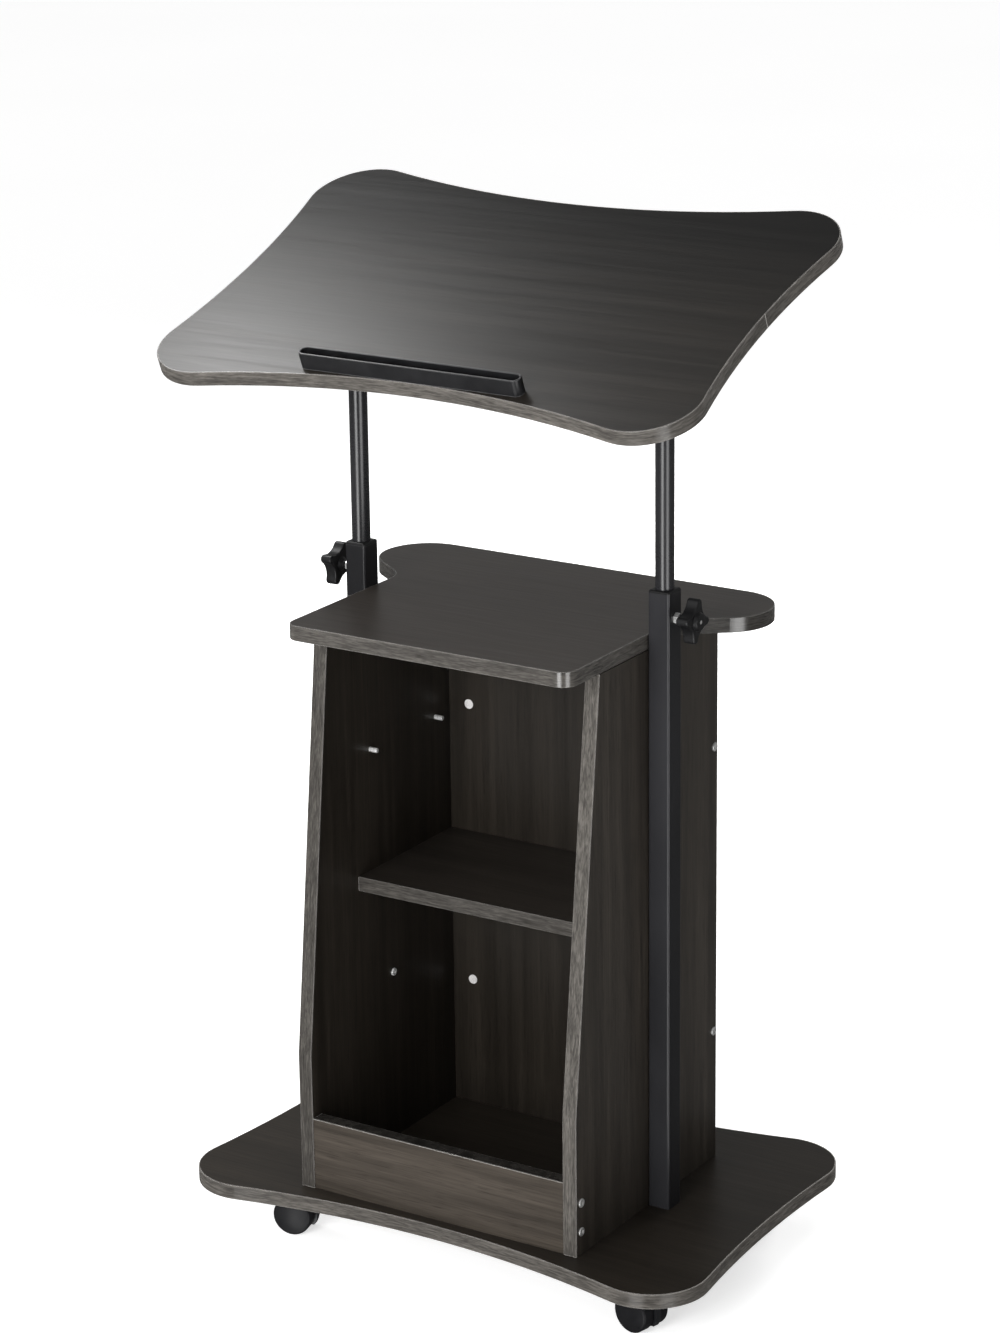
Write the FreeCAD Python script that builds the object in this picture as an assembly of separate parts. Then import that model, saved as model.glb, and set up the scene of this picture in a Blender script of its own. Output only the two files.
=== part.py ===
import FreeCAD, Part
import math
import os

# Rolling laptop cart: base board on four twin-wheel casters, open two-shelf
# cabinet with slanted side panels, T-shaped cabinet top, two square posts with
# a sliding inverted-U tube frame, and a tilting desktop with a front ledge.
# Millimetres. The drawing frame has x across the cart, y back from the front
# edges of the side panels and z up from the top of the base board; every piece
# is moved into the final frame (floor at z = 0, footprint centred) at the end.

V = FreeCAD.Vector

# ---------------------------------------------------------------- dimensions
BOARD = 15.0            # board thickness
BAND = 1.0              # edge band thickness
BAND_R = 0.6            # rounding of the band's outer edges

CASTER_H = 50.0         # floor to underside of base
WHEEL_R = 20.0
WHEEL_IN = 4.0          # inner face of each wheel from the caster's mid plane
WHEEL_OUT = 18.5
TRAIL = 17.5            # swivel axis to axle
AXLE_R = 2.5
KING_R = 4.0
PLATE = 42.0
PLATE_T = 2.0
CASTER_XF, CASTER_YF = 202.7, 22.8     # swivel axes, front pair
CASTER_XR, CASTER_YR = 190.0, 281.0    # rear pair
HEADING = {"front_left": 13.0, "front_right": -13.0}   # turn of a caster about its swivel axis

# base outline: four corner circles joined by hollow arcs
BASE_FX, BASE_FY = 230.0, 19.5
BASE_RX, BASE_RY = 221.0, 291.0
BASE_RC = 58.0
BASE_R_FRONT, BASE_R_REAR, BASE_R_SIDE = 931.6, 860.0, 1300.0

# cabinet
CAB_A = 159.5           # outer half width
CAB_D = 271.7           # side panel depth at the foot
CAB_H = 570.0           # side panel height
KINK_Z = 140.8          # the front edge is upright to here
TOP_SET = 47.5          # set-back of the front edge at the top
BACK_T = 12.0
KICK_H, KICK_Y = 74.7, 1.2
SHELF_Y, SHELF_Z = 89.8, 301.0   # front edge and top face of the middle shelf

# cabinet top (T outline)
TOP_B = 158.5           # half width of the front part
TOP_Y0, TOP_Y1 = -5.0, 312.5
TOP_RC = 15.0
TOP_FIL = 36.0          # hollow fillet behind the posts
TOP_FIL_Y = 176.3
TOP_TIP_X, TOP_TIP_Y, TOP_TIP_R = 170.6, 263.5, 49.0

# posts and lift frame
POST = 23.5
POST_WALL = 1.5
POST_X = CAB_A + POST / 2
POST_Y = 147.75
POST_TOP = 626.5
COLLAR_T = 3.0
ROD_R = 9.1
ROD_WALL = 1.5
BEND_R = 40.0
ROD_BOTTOM = 386.0
RUN = 0.06              # radial running clearance

# clamp knobs
KNOB_Z = 602.0
KNOB_IN, KNOB_OUT, KNOB_END = 194.8, 207.2, 210.3   # arms, and the end of the hub
KNOB_TIP_A, KNOB_TIP_R = 17.2, 4.3                  # arm ends: circle centres and radius
KNOB_VALLEY = 12.6                                  # radius at the middle of the valleys
KNOB_PHASE = {-1: 65.0, 1: 79.0}
STUD_R = 3.0
NUT_T = 5.0

# desktop, in its own frame: origin on the tilt axis, v back, n up off the board
PIVOT_Y, PIVOT_Z = POST_Y, 866.0
TILT = 21.0
DESK_N0 = 22.0          # underside of the board above the tilt axis
DESK_VC = -7.0          # centre of the board along v
DESK_CX, DESK_CV, DESK_RC = 235.0, 134.0, 55.0
DESK_R_FRONT, DESK_R_SIDE = 921.5, 752.0
CLAMP_X = 95.0
LEDGE_L, LEDGE_W, LEDGE_H = 240.0, 14.0, 16.6
LEDGE_V0 = -166.3
LEDGE_WALL, LEDGE_FLOOR = 2.2, 3.0

# final frame
BASE_TOP = CASTER_H + BOARD
_t = math.radians(TILT)
DESK_FRONT = (PIVOT_Y + (DESK_VC - DESK_CV - DESK_RC) * math.cos(_t)
              - (DESK_N0 + BOARD) * math.sin(_t))
Y_MID = (DESK_FRONT + BASE_RY + BASE_RC) / 2
SHIFT = V(0, -Y_MID, BASE_TOP)


# ---------------------------------------------------------------- helpers
def box(x0, x1, y0, y1, z0, z1):
    return Part.makeBox(x1 - x0, y1 - y0, z1 - z0, V(x0, y0, z0))


def cyl(r, p, d, h):
    return Part.makeCylinder(r, h, V(*p), V(*d))


def cone(r1, r2, p, d, h):
    return Part.makeCone(r1, r2, h, V(*p), V(*d))


def prism(wire, z0, h):
    f = Part.Face(wire)
    s = f.extrude(V(0, 0, h))
    s.translate(V(0, 0, z0))
    return s


def fuse(shapes):
    s = shapes[0]
    if len(shapes) > 1:
        s = s.multiFuse(shapes[1:])
    return s.removeSplitter()


def cut(s, tools):
    return s.cut(Part.makeCompound(tools)) if tools else s


def mirror_x(s):
    return s.mirror(V(0, 0, 0), V(1, 0, 0))


def poly(points):
    return Part.makePolygon([V(*p) for p in points] + [V(*points[0])])


def hexagon(af, p, d, h):
    """Hexagonal prism, across flats af, from p along the x or z direction d."""
    r = af / math.sqrt(3)
    pts = []
    for i in range(6):
        a = math.radians(60 * i + 30)
        c, s = r * math.cos(a), r * math.sin(a)
        if abs(d[0]) > 0.5:
            pts.append((p[0], p[1] + c, p[2] + s))
        else:
            pts.append((p[0] + c, p[1] + s, p[2]))
    return Part.Face(poly(pts)).extrude(V(*d) * h)


def rounded_rect(cx, cy, sx, sy, r):
    """Rounded rectangle wire in the xy plane."""
    x0, x1, y0, y1 = cx - sx / 2, cx + sx / 2, cy - sy / 2, cy + sy / 2
    k = r * (1 - math.sqrt(0.5))
    e = []

    def ln(a, b):
        e.append(Part.LineSegment(V(a[0], a[1], 0), V(b[0], b[1], 0)).toShape())

    def ar(a, m, b):
        e.append(Part.Arc(V(a[0], a[1], 0), V(m[0], m[1], 0), V(b[0], b[1], 0)).toShape())

    ln((x0 + r, y0), (x1 - r, y0))
    ar((x1 - r, y0), (x1 - k, y0 + k), (x1, y0 + r))
    ln((x1, y0 + r), (x1, y1 - r))
    ar((x1, y1 - r), (x1 - k, y1 - k), (x1 - r, y1))
    ln((x1 - r, y1), (x0 + r, y1))
    ar((x0 + r, y1), (x0 + k, y1 - k), (x0, y1 - r))
    ln((x0, y1 - r), (x0, y0 + r))
    ar((x0, y0 + r), (x0 + k, y0 + k), (x0 + r, y0))
    return Part.Wire(e)


def hollow_outline(corners, rc, radii, inset):
    """Closed outline of corner circles joined by hollow arcs, moved in by inset.

    corners runs anticlockwise; radii[i] is the arc from corner i to i + 1."""
    n = len(corners)
    r = rc - inset
    arcs = []
    for i in range(n):
        a, b = V(*corners[i], 0), V(*corners[(i + 1) % n], 0)
        big = radii[i] + inset
        d = b - a
        half = d.Length / 2
        out = V(d.y, -d.x, 0)
        out.normalize()
        c = (a + b) * 0.5 + out * math.sqrt((big + r) ** 2 - half ** 2)
        p1 = a + (c - a) * (r / (big + r))
        p2 = b + (c - b) * (r / (big + r))
        arcs.append((p1, c - out * big, p2))
    edges = []
    for i in range(n):
        p1, pm, p2 = arcs[i]
        edges.append(Part.Arc(p1, pm, p2).toShape())
        q = arcs[(i + 1) % n][0]
        c = V(*corners[(i + 1) % n], 0)
        m = (p2 - c) + (q - c)
        m.normalize()
        edges.append(Part.Arc(p2, c + m * r, q).toShape())
    return Part.Wire(edges)


def top_outline(inset):
    """T outline of the cabinet top, moved in by inset."""
    b, y0, y1 = TOP_B - inset, TOP_Y0 + inset, TOP_Y1 - inset
    rc, rf, rt = TOP_RC - inset, TOP_FIL + inset, TOP_TIP_R - inset
    f = V(TOP_B + TOP_FIL, TOP_FIL_Y, 0)
    t = V(TOP_TIP_X, TOP_TIP_Y, 0)
    d = t - f
    ang = math.atan2(d.y, d.x) + math.acos((rf + rt) / d.Length)
    nl = V(math.cos(ang), math.sin(ang), 0)
    p0 = V(b, TOP_FIL_Y, 0)
    p1 = f + nl * rf
    p2 = t - nl * rt
    p3 = V(TOP_TIP_X, y1, 0)
    m = (p0 - f) + (p1 - f)
    m.normalize()
    fm = f + m * rf
    tm = t + V(math.cos(math.radians(15)), math.sin(math.radians(15)), 0) * rt
    k = rc * math.sqrt(0.5)
    cc = V(TOP_B - TOP_RC, TOP_Y0 + TOP_RC, 0)
    c0, c1 = V(cc.x, y0, 0), V(b, cc.y, 0)
    cm = cc + V(k, -k, 0)

    def flip(v):
        return V(-v.x, v.y, 0)

    e = [Part.LineSegment(flip(c0), c0).toShape(),
         Part.Arc(c0, cm, c1).toShape(),
         Part.LineSegment(c1, p0).toShape(),
         Part.Arc(p0, fm, p1).toShape(),
         Part.LineSegment(p1, p2).toShape(),
         Part.Arc(p2, tm, p3).toShape(),
         Part.LineSegment(p3, flip(p3)).toShape(),
         Part.Arc(flip(p3), flip(tm), flip(p2)).toShape(),
         Part.LineSegment(flip(p2), flip(p1)).toShape(),
         Part.Arc(flip(p1), flip(fm), flip(p0)).toShape(),
         Part.LineSegment(flip(p0), flip(c1)).toShape(),
         Part.Arc(flip(c1), flip(cm), flip(c0)).toShape()]
    return Part.Wire(e)


def band_ring(outer, inner, z0, h, seam):
    """Edge band between two outlines with softened outer edges and a butt seam."""
    ring = prism(outer, z0, h).cut(prism(inner, z0 - 1, h + 2))
    rim = []
    for e in ring.Edges:
        m = e.valueAt((e.FirstParameter + e.LastParameter) / 2)
        if abs(m.z - z0) > 1e-4 and abs(m.z - z0 - h) > 1e-4:
            continue
        flat = Part.Vertex(V(m.x, m.y, 0))
        if flat.distToShape(outer)[0] < 1e-3:
            rim.append(e)
    ring = ring.makeFillet(BAND_R, rim)
    return ring.cut(seam)


def screw(p, d, head_r, head_h, shank_r, length, af=3.0):
    """Pan-head screw: head seats at p and stands out against d; shank along d."""
    d = V(*d)
    p = V(*p)
    head = Part.makeCylinder(head_r, head_h, p - d * head_h, d)
    rim = [e for e in head.Edges if e.Curve.TypeId == "Part::GeomCircle"
           and (e.Curve.Center - (p - d * head_h)).Length < 1e-6]
    head = head.makeFillet(head_h * 0.45, rim)
    s = fuse([head, Part.makeCylinder(shank_r, length, p, d)])
    q = p - d * head_h
    return s.cut(hexagon_any(af, q, d, head_h * 0.55))


def hexagon_any(af, p, d, h):
    """Hexagonal prism along any direction d."""
    r = af / math.sqrt(3)
    up = V(0, 0, 1) if abs(d.z) < 0.9 else V(1, 0, 0)
    a = d.cross(up)
    a.normalize()
    b = d.cross(a)
    pts = []
    for i in range(6):
        t = math.radians(60 * i)
        pts.append(p + a * (r * math.cos(t)) + b * (r * math.sin(t)))
    return Part.Face(Part.makePolygon(pts + [pts[0]])).extrude(d * h)


def flush_screw(p, d, head_r, head_h, shank_r, length, af=4.0):
    """Countersunk screw whose flat head lies flush at p; it runs along d."""
    d = V(*d)
    p = V(*p)
    s = fuse([Part.makeCone(head_r, shank_r, head_h, p, d),
              Part.makeCylinder(shank_r, length, p, d)])
    return s.cut(hexagon_any(af, p, d, head_h * 0.6))


def flush_hole(p, d, head_r, head_h, shank_r, length, gap=0.05):
    d = V(*d)
    p = V(*p)
    return Part.makeCone(head_r + gap, shank_r + gap, head_h, p, d).fuse(
        Part.makeCylinder(shank_r + gap, length + 0.3, p, d))


nodes = {}

# ---------------------------------------------------------------- fixings
SIDES = (-1, 1)
back_y = CAB_D - BACK_T / 2
kick_y = KICK_Y + BOARD / 2
inner_x = CAB_A - BOARD
panel_mid = CAB_A - BOARD / 2

# bolts through the side panels into kick board and back panel
panel_screws, panel_holes = [], []
for s in SIDES:
    for y, z in ((kick_y, 24.0), (kick_y, 54.0), (back_y, 137.4), (back_y, 437.0)):
        p, d = (s * CAB_A, y, z), (-s, 0, 0)
        panel_screws.append(screw(p, d, 4.5, 1.4, 2.5, 40.0, 4.0))
        panel_holes.append(cyl(2.55, (s * (CAB_A + 1), y, z), d, 41.3))
nodes["panel_screws"] = Part.makeCompound(panel_screws)

# cam housings let into the back panel where those bolts end
cam_caps, cam_holes = [], []
for s in SIDES:
    for z in (137.4, 437.0):
        x, y = s * 121.0, CAB_D - BACK_T
        c = cyl(5.0, (x, y - 0.8, z), (0, 1, 0), 3.6)
        c = c.makeFillet(0.4, [e for e in c.Edges if e.Curve.TypeId == "Part::GeomCircle"
                               and abs(e.Curve.Center.y - (y - 0.8)) < 1e-6])
        c = c.cut(box(x - 2.6, x + 2.6, y - 2, y - 0.3, z - 0.5, z + 0.5))
        c = c.cut(box(x - 0.5, x + 0.5, y - 2, y - 0.3, z - 2.6, z + 2.6))
        cam_caps.append(c)
        cam_holes.append(cyl(5.05, (x, y - 1, z), (0, 1, 0), 3.85))
nodes["cam_housings"] = Part.makeCompound(cam_caps)

# grooved pins under the middle shelf, and a spare set at its upper position
PIN_OUT = 9.0


def shelf_pin(s, y, z):
    tip = s * (inner_x - PIN_OUT)
    c = cyl(2.5, (tip, y, z), (s, 0, 0), PIN_OUT + 8.0)
    c = c.makeFillet(0.8, [e for e in c.Edges if e.Curve.TypeId == "Part::GeomCircle"
                           and abs(e.Curve.Center.x - tip) < 1e-6])
    groove = cyl(4.0, (s * (inner_x - 3.4), y, z), (s, 0, 0), 1.0).cut(
        cyl(2.0, (s * (inner_x - 4.0), y, z), (s, 0, 0), 3.0))
    return c.cut(groove)


pins, spare_pins, pin_holes = [], [], []
for s in SIDES:
    for y in (115.0, 233.0):
        for z, group in ((SHELF_Z - BOARD - 2.55, pins), (427.0, spare_pins)):
            group.append(shelf_pin(s, y, z))
            pin_holes.append(cyl(2.55, (s * (inner_x - 1), y, z), (s, 0, 0), 9.3))
nodes["shelf_pins"] = Part.makeCompound(pins)
nodes["spare_shelf_pins"] = Part.makeCompound(spare_pins)


# dowels between the cabinet top and the boards below it
dowels, dowel_holes = [], []
for x, y in ((-panel_mid, 90.0), (-panel_mid, 235.0), (panel_mid, 90.0), (panel_mid, 235.0),
             (-70.0, back_y), (70.0, back_y)):
    dowels.append(cyl(4.0, (x, y, CAB_H - 13.0), (0, 0, 1), 24.0))
    dowel_holes.append(cyl(4.05, (x, y, CAB_H - 13.3), (0, 0, 1), 24.6))
nodes["top_dowels"] = Part.makeCompound(dowels)

# screws up through the base into the side panels, back panel and kick board
base_screws, base_holes = [], []
for x, y in ((-panel_mid, 60.0), (-panel_mid, 215.0), (panel_mid, 60.0), (panel_mid, 215.0),
             (0.0, back_y), (0.0, kick_y)):
    p = (x, y, -BOARD)
    base_screws.append(flush_screw(p, (0, 0, 1), 5.0, 4.0, 2.5, 45.0))
    base_holes.append(flush_hole(p, (0, 0, 1), 5.0, 4.0, 2.5, 45.0))
nodes["base_screws"] = Part.makeCompound(base_screws)

# foot plugs in the posts and the screws that hold them to the base
feet, foot_screws, foot_holes = [], [], []
for s in SIDES:
    p = (s * POST_X, POST_Y, -BOARD)
    foot_screws.append(flush_screw(p, (0, 0, 1), 5.0, 4.0, 2.5, 35.0))
    h = flush_hole(p, (0, 0, 1), 5.0, 4.0, 2.5, 35.0)
    foot_holes.append(h)
    side = POST - 2 * POST_WALL - 0.2
    f = prism(rounded_rect(s * POST_X, POST_Y, side, side, 1.5), 0, 24.0)
    feet.append(f.cut(h))
nodes["post_feet"] = Part.makeCompound(feet)
nodes["post_foot_screws"] = Part.makeCompound(foot_screws)

# screws from inside the cabinet through the panels into the posts
post_screws, post_screw_holes = [], []
for s in SIDES:
    for z in (180.0, 548.0):
        p = (s * inner_x, POST_Y, z)
        post_screws.append(screw(p, (s, 0, 0), 4.0, 1.8, 2.0, BOARD + 2.1))
        post_screw_holes.append(cyl(2.05, (s * (inner_x - 3), POST_Y, z), (s, 0, 0), BOARD + 5.3))
nodes["post_screws"] = Part.makeCompound(post_screws)

# ---------------------------------------------------------------- base
base_corners = [(-BASE_FX, BASE_FY), (BASE_FX, BASE_FY), (BASE_RX, BASE_RY), (-BASE_RX, BASE_RY)]
base_radii = [BASE_R_FRONT, BASE_R_SIDE, BASE_R_REAR, BASE_R_SIDE]
base_outer = hollow_outline(base_corners, BASE_RC, base_radii, 0.0)
base_inner = hollow_outline(base_corners, BASE_RC, base_radii, BAND)
seam = box(-0.2, 0.2, 300, 400, -BOARD - 1, 1)
nodes["base_edge_band"] = band_ring(base_outer, base_inner, -BOARD, BOARD, seam)

caster_xy = {"front_left": (-CASTER_XF, CASTER_YF), "front_right": (CASTER_XF, CASTER_YF),
             "rear_left": (-CASTER_XR, CASTER_YR), "rear_right": (CASTER_XR, CASTER_YR)}
plates, kings, plate_screws, plate_screw_holes = [], [], [], []
for x, y in caster_xy.values():
    pz = -BOARD - PLATE_T
    pl = prism(rounded_rect(x, y, PLATE, PLATE, 5.0), pz, PLATE_T)
    tools = [cyl(3.05, (x, y, pz - 1), (0, 0, 1), 5)]
    for dx in (-15.0, 15.0):
        for dy in (-15.0, 15.0):
            plate_screws.append(screw((x + dx, y + dy, pz), (0, 0, -1 * -1), 3.8, 1.8, 2.0, 13.0))
            h = cyl(2.05, (x + dx, y + dy, pz - 1), (0, 0, 1), 14.3)
            tools.append(h)
            plate_screw_holes.append(h)
    plates.append(cut(pl, tools))
    kings.append(fuse([cyl(KING_R, (x, y, pz - 11.0), (0, 0, 1), 11.0),
                       cyl(3.0, (x, y, pz), (0, 0, 1), PLATE_T)]))
nodes["caster_plates"] = Part.makeCompound(plates)
nodes["caster_kingpins"] = Part.makeCompound(kings)
nodes["caster_screws"] = Part.makeCompound(plate_screws)

nodes["base_board"] = cut(prism(base_inner, -BOARD, BOARD),
                          base_holes + foot_holes + plate_screw_holes)

# ---------------------------------------------------------------- cabinet
front = [(0, 0), (0, KINK_Z), (TOP_SET, CAB_H)]
core = poly([(0, y + BAND, z) for y, z in front] + [(0, CAB_D, CAB_H), (0, CAB_D, 0)])
strip = poly([(0, y, z) for y, z in front] + [(0, y + BAND, z) for y, z in reversed(front)])
edge_strips = []
for s, name in ((-1, "left_panel"), (1, "right_panel")):
    x0 = inner_x if s > 0 else -CAB_A
    p = Part.Face(core).extrude(V(BOARD, 0, 0))
    p.translate(V(x0, 0, 0))
    nodes[name] = cut(p, panel_holes + pin_holes + dowel_holes + base_holes + post_screw_holes)
    e = Part.Face(strip).extrude(V(BOARD, 0, 0))
    e = e.makeFillet(BAND_R, [q for q in e.Edges if q.BoundBox.XLength < 1e-6 and q.BoundBox.ZLength > 50
                              and min(abs(q.BoundBox.YMin - 0.0), abs(q.BoundBox.YMax - TOP_SET)) < 1e-6
                              and q.BoundBox.YMin < 0.5])
    e.translate(V(x0, 0, 0))
    edge_strips.append(e)
nodes["panel_edge_bands"] = Part.makeCompound(edge_strips)

p = box(-inner_x, inner_x, CAB_D - BACK_T, CAB_D, 0, CAB_H)
nodes["back_panel"] = cut(p, panel_holes + cam_holes + dowel_holes + base_holes)

p = box(-inner_x, inner_x, KICK_Y, KICK_Y + BOARD, 0, KICK_H - BAND)
nodes["kick_board"] = cut(p, panel_holes + base_holes)
e = box(-inner_x, inner_x, KICK_Y, KICK_Y + BOARD, KICK_H - BAND, KICK_H)
nodes["kick_edge_band"] = e.makeFillet(BAND_R, [q for q in e.Edges if q.BoundBox.XLength > 50
                                                and q.BoundBox.ZMin > KICK_H - 0.01])

p = box(-inner_x, inner_x, SHELF_Y + BAND, CAB_D - BACK_T, SHELF_Z - BOARD, SHELF_Z)
nodes["middle_shelf"] = p
e = box(-inner_x, inner_x, SHELF_Y, SHELF_Y + BAND, SHELF_Z - BOARD, SHELF_Z)
nodes["shelf_edge_band"] = e.makeFillet(BAND_R, [q for q in e.Edges if q.BoundBox.XLength > 50
                                                 and q.BoundBox.YMax < SHELF_Y + 0.01])

top_outer, top_inner = top_outline(0.0), top_outline(BAND)
seam = box(-0.2, 0.2, 300, 330, CAB_H - 1, CAB_H + BOARD + 1)
nodes["top_edge_band"] = band_ring(top_outer, top_inner, CAB_H, BOARD, seam)
nodes["cabinet_top"] = cut(prism(top_inner, CAB_H, BOARD), dowel_holes)

# ---------------------------------------------------------------- posts
nuts = []
for s, name in ((-1, "left_post"), (1, "right_post")):
    x = s * POST_X
    outer = prism(rounded_rect(x, POST_Y, POST, POST, 2.5), 0, POST_TOP)
    side = POST - 2 * POST_WALL
    inner = prism(rounded_rect(x, POST_Y, side, side, 1.2), -1, POST_TOP + 2)
    stud_hole = cyl(STUD_R + 0.4, (x, POST_Y, KNOB_Z), (s, 0, 0), POST)
    nodes[name] = cut(outer, [inner, stud_hole] + post_screw_holes)

    # plastic guide collar: cap flange and a plug inside the tube
    flange = prism(rounded_rect(x, POST_Y, POST, POST, 2.5), POST_TOP, COLLAR_T)
    flange = flange.makeFillet(2.2, [q for q in flange.Edges if q.BoundBox.ZMin > POST_TOP + COLLAR_T - 0.01])
    plug = prism(rounded_rect(x, POST_Y, side - 0.2, side - 0.2, 1.1), POST_TOP - 17.0, 17.0)
    bore = cyl(ROD_R + RUN, (x, POST_Y, POST_TOP - 20), (0, 0, 1), 30)
    nodes[name + "_collar"] = fuse([flange, plug]).cut(bore)

    nut = hexagon(10.0, (s * (POST_X + POST / 2), POST_Y, KNOB_Z), (s, 0, 0), NUT_T)
    ch = cone(6.6, 4.9, (s * (POST_X + POST / 2 + 3.3), POST_Y, KNOB_Z), (s, 0, 0), 2.2)
    ch = ch.fuse(cyl(6.6, (s * (POST_X + POST / 2), POST_Y, KNOB_Z), (s, 0, 0), 3.3))
    nut = nut.common(ch).cut(cyl(STUD_R + RUN, (x, POST_Y, KNOB_Z), (s, 0, 0), 40))
    nuts.append(nut)
nodes["post_nuts"] = Part.makeCompound(nuts)

# ---------------------------------------------------------------- clamp knobs
def star(x, phase):
    """Four-armed outline in the plane at x: round arm ends and hollow valleys."""
    a, r1, v = KNOB_TIP_A, KNOB_TIP_R, KNOB_VALLEY
    c45 = math.sqrt(0.5)
    r2 = (a * a + v * v - 2 * a * v * c45 - r1 * r1) / (2 * (r1 - v + a * c45))
    b = v + r2

    def at(r, deg):
        t = math.radians(deg)
        return V(x, POST_Y + r * math.cos(t), KNOB_Z + r * math.sin(t))

    k = r1 / (r1 + r2)
    edges = []
    for i in range(4):
        t = phase + 90 * i
        tip, before, after, nxt = at(a, t), at(b, t - 45), at(b, t + 45), at(a, t + 90)
        p0 = tip + (before - tip) * k
        p1 = tip + (after - tip) * k
        p2 = nxt + (after - nxt) * k
        edges.append(Part.Arc(p0, at(a + r1, t), p1).toShape())
        edges.append(Part.Arc(p1, at(v, t + 45), p2).toShape())
    return Part.Wire(edges)


# A slim neck of the knob covers the stud up to the nut; the thin tail of the stud holds the hub.
STUD_END = 203.0
for s, name in ((-1, "left_knob"), (1, "right_knob")):
    d = (s, 0, 0)
    x0 = s * KNOB_IN
    k = Part.Face(star(x0, KNOB_PHASE[s])).extrude(V(*d) * (KNOB_OUT - KNOB_IN))
    if k.Volume < 0:
        k = k.reversed()
    k = k.makeFillet(1.5, [q for q in k.Edges if q.BoundBox.XLength < 1e-6])
    hub = cone(10.0, 8.0, (s * (KNOB_OUT - 1.0), POST_Y, KNOB_Z), d, KNOB_END - KNOB_OUT + 1.0)
    hub = hub.makeFillet(1.2, [q for q in hub.Edges if q.Curve.TypeId == "Part::GeomCircle"
                               and abs(q.Curve.Center.x - s * KNOB_END) < 1e-6])
    neck_x = POST_X + POST / 2 + NUT_T + 0.6
    neck = cyl(4.2, (s * neck_x, POST_Y, KNOB_Z), d, KNOB_IN + 2.0 - neck_x)
    flare = cone(4.2, 7.0, (x0 - s * 2.8, POST_Y, KNOB_Z), d, 2.8)
    k = fuse([k, hub, fuse([neck, flare, cyl(7.0, (x0, POST_Y, KNOB_Z), d, 2.0)])])
    stud_x0 = s * (POST_X + ROD_R + 0.35)
    stud = fuse([cyl(STUD_R, (stud_x0, POST_Y, KNOB_Z), d, STUD_END - abs(stud_x0)),
                 cyl(2.0, (s * (STUD_END - 1.0), POST_Y, KNOB_Z), d, KNOB_END - 0.2 - STUD_END + 1.0)])
    bore = cyl(STUD_R + 0.05, (s * 185.0, POST_Y, KNOB_Z), d, STUD_END + 0.05 - 185.0)
    k = k.cut(bore).cut(cyl(2.05, (s * (STUD_END - 1.0), POST_Y, KNOB_Z), d, 12.0))
    nodes[name] = k
    nodes[name + "_stud"] = stud

# ---------------------------------------------------------------- lift frame
def u_tube(r):
    pts = [V(-POST_X, POST_Y, ROD_BOTTOM), V(-POST_X, POST_Y, PIVOT_Z - BEND_R),
           V(-POST_X + BEND_R, POST_Y, PIVOT_Z), V(POST_X - BEND_R, POST_Y, PIVOT_Z),
           V(POST_X, POST_Y, PIVOT_Z - BEND_R), V(POST_X, POST_Y, ROD_BOTTOM)]
    parts = [cyl(r, tuple(pts[0]), (0, 0, 1), pts[1].z - pts[0].z),
             cyl(r, tuple(pts[2]), (1, 0, 0), pts[3].x - pts[2].x),
             cyl(r, tuple(pts[5]), (0, 0, 1), pts[4].z - pts[5].z)]
    for s in SIDES:
        c = V(s * (POST_X - BEND_R), POST_Y, PIVOT_Z - BEND_R)
        ring = Part.makeTorus(BEND_R, r, c, V(0, 1, 0))
        quarter = box(min(0, s * 100) + c.x, max(0, s * 100) + c.x, POST_Y - 50, POST_Y + 50, c.z, c.z + 100)
        parts.append(ring.common(quarter))
    return fuse(parts)


nodes["lift_frame"] = u_tube(ROD_R).cut(u_tube(ROD_R - ROD_WALL))

plugs = []
for s in SIDES:
    c = (s * POST_X, POST_Y, ROD_BOTTOM - 12.0)
    g = cyl(9.8, c, (0, 0, 1), 12.0)
    g = g.makeFillet(1.5, [q for q in g.Edges if q.BoundBox.ZMax < c[2] + 0.01])
    plugs.append(fuse([g, cyl(ROD_R - ROD_WALL - 0.05, (c[0], c[1], ROD_BOTTOM), (0, 0, 1), 14.0)]))
nodes["rod_end_plugs"] = Part.makeCompound(plugs)

# ---------------------------------------------------------------- desktop
# built flat about the tilt axis (x), then turned by TILT and set on the frame
desk = {}
dc = [(-DESK_CX, DESK_VC - DESK_CV), (DESK_CX, DESK_VC - DESK_CV),
      (DESK_CX, DESK_VC + DESK_CV), (-DESK_CX, DESK_VC + DESK_CV)]
dr = [DESK_R_FRONT, DESK_R_SIDE, DESK_R_FRONT, DESK_R_SIDE]
desk_outer = hollow_outline(dc, DESK_RC, dr, 0.0)
desk_inner = hollow_outline(dc, DESK_RC, dr, BAND)
n0, n1 = DESK_N0, DESK_N0 + BOARD
seam = box(270, 300, 6.0, 6.4, n0 - 1, n1 + 1)
desk["desktop_edge_band"] = band_ring(desk_outer, desk_inner, n0, BOARD, seam)

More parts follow.
